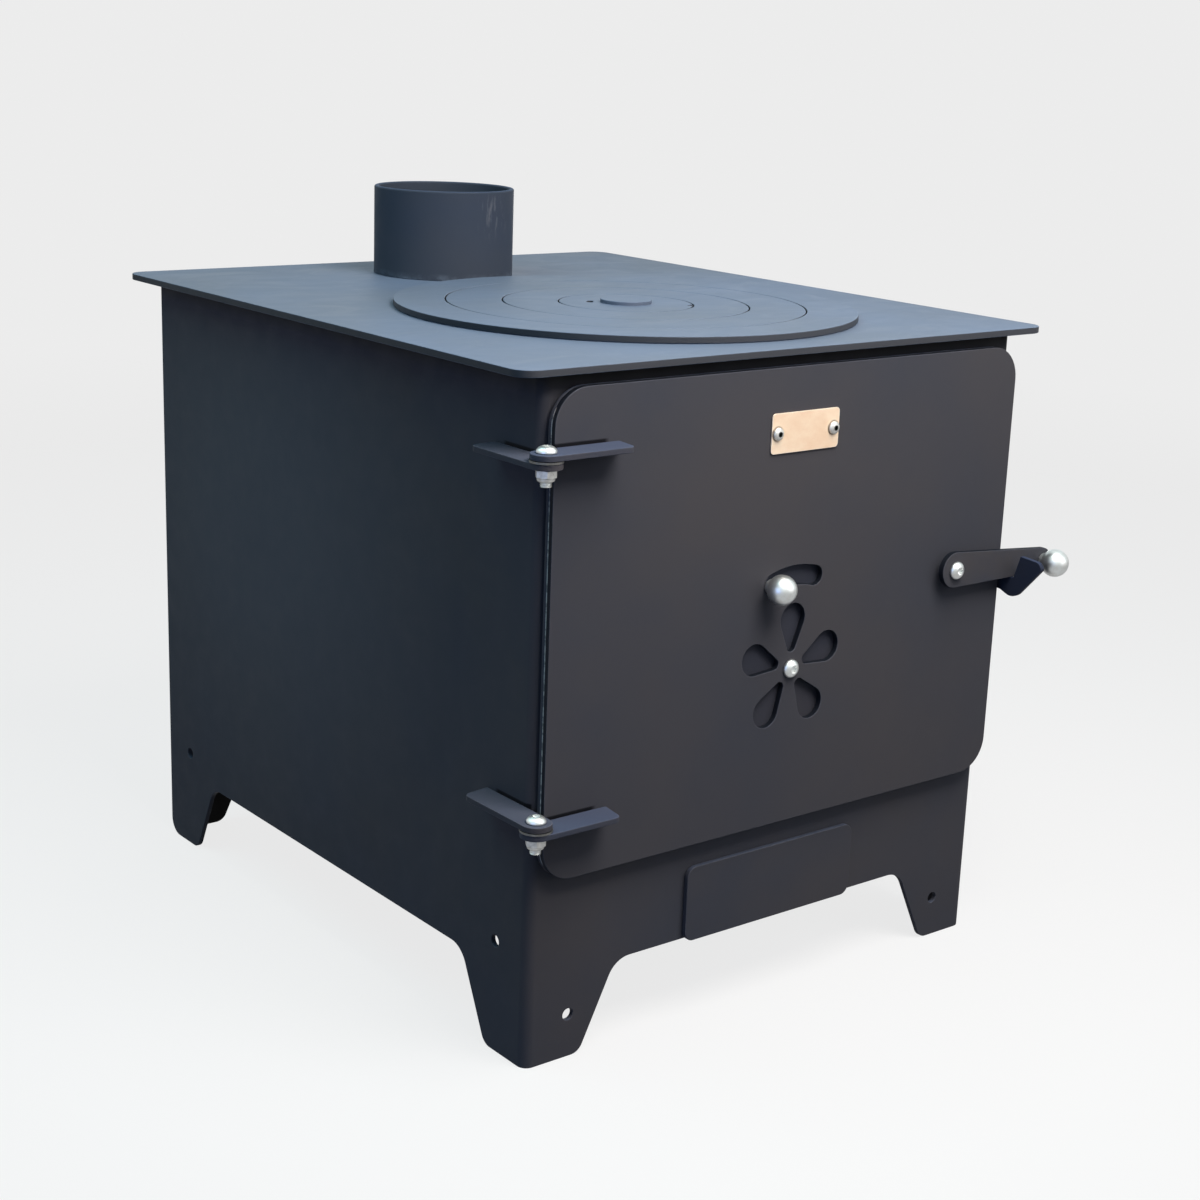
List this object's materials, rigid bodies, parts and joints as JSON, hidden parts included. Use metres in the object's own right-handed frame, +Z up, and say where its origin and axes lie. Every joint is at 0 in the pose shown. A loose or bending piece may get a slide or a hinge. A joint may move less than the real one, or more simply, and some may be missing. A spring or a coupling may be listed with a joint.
{
  "type": "wood cookstove",
  "caption": "Box-shaped steel wood cookstove with nested hob rings, a flue collar, a hinged door with an air rosette and a drop latch, and an ash drawer between its legs.",
  "frame": {"origin": "on the floor, under the middle of the stove's overall box", "axes": "+X to the right of someone facing the door, +Y from the door to the back, +Z up"},
  "size_m": [0.522, 0.6026, 0.5743],
  "materials": {
    "stove_paint": "matt high temperature paint, charcoal",
    "hob_paint": "satin high temperature paint, blue grey where it mirrors the sky",
    "fire_steel": "bare, dull",
    "stainless": "satin",
    "plate_brass": "pale, satin",
    "rope": "black glass fibre rope"
  },
  "bodies": {
    "casing": {"casing_wrap": "stove_paint", "back_panel": "stove_paint", "top_plate": "hob_paint", "flue_collar": "stove_paint", "firebox_floor": "fire_steel", "grate": "fire_steel", "drawer_guide_left": "fire_steel", "drawer_guide_right": "fire_steel", "catch_hook": "stove_paint", "body_leaf_upper": "stove_paint", "body_leaf_lower": "stove_paint", "hinge_washer_upper": "stainless", "hinge_washer_lower": "stainless", "hinge_bolt_upper": "stainless", "hinge_bolt_lower": "stainless", "hinge_nut_upper": "stainless", "hinge_nut_lower": "stainless"},
    "door": {"door_plate": "stove_paint", "door_leaf_upper": "stove_paint", "door_leaf_lower": "stove_paint", "seal_strip_outer": "stove_paint", "seal_rope": "rope", "seal_strip_inner": "stove_paint", "nameplate": "plate_brass", "nameplate_screw_left": "stainless", "nameplate_screw_right": "stainless", "rosette_screw": "stainless", "rosette_nut": "stainless", "latch_spacer": "stainless", "latch_screw": "stainless", "latch_nut": "stainless"},
    "air_control": {"rosette_disc": "stove_paint", "air_stud": "stainless", "air_ball": "stainless"},
    "latch": {"latch_bar": "stove_paint", "latch_stud": "stainless", "latch_ball": "stainless"},
    "ash_drawer": {"drawer_front": "stove_paint", "ash_tray": "fire_steel"},
    "outer_ring": {"hob_ring_outer": "hob_paint"},
    "middle_ring": {"hob_ring_middle": "hob_paint"},
    "inner_ring": {"hob_ring_inner": "hob_paint"},
    "lid": {"hob_lid": "hob_paint"}
  },
  "joints": [
    {"name": "door_hinge", "type": "hinge", "parent": "casing", "child": "door", "pos_m": [-0.2473, -0.27362, 0.315], "axis": [0, 0, -1], "range_deg": [0, 265]},
    {"name": "latch_pivot", "type": "hinge", "parent": "door", "child": "latch", "pos_m": [0.149, -0.26982, 0.3185], "axis": [0, -1, 0], "range_deg": [0, 180]},
    {"name": "air_pivot", "type": "hinge", "parent": "door", "child": "air_control", "pos_m": [-0.011, -0.25732, 0.2633], "axis": [0, 1, 0], "range_deg": [0, 40]},
    {"name": "drawer_slide", "type": "slide", "parent": "casing", "child": "ash_drawer", "axis": [0, -1, 0], "range_m": [0, 0.28]},
    {"name": "outer_ring_lift", "type": "slide", "parent": "casing", "child": "outer_ring", "axis": [0, 0, 1], "range_m": [0, 0.12]},
    {"name": "middle_ring_lift", "type": "slide", "parent": "outer_ring", "child": "middle_ring", "axis": [0, 0, 1], "range_m": [0, 0.12]},
    {"name": "inner_ring_lift", "type": "slide", "parent": "middle_ring", "child": "inner_ring", "axis": [0, 0, 1], "range_m": [0, 0.12]},
    {"name": "lid_lift", "type": "slide", "parent": "inner_ring", "child": "lid", "axis": [0, 0, 1], "range_m": [0, 0.12]}
  ]
}
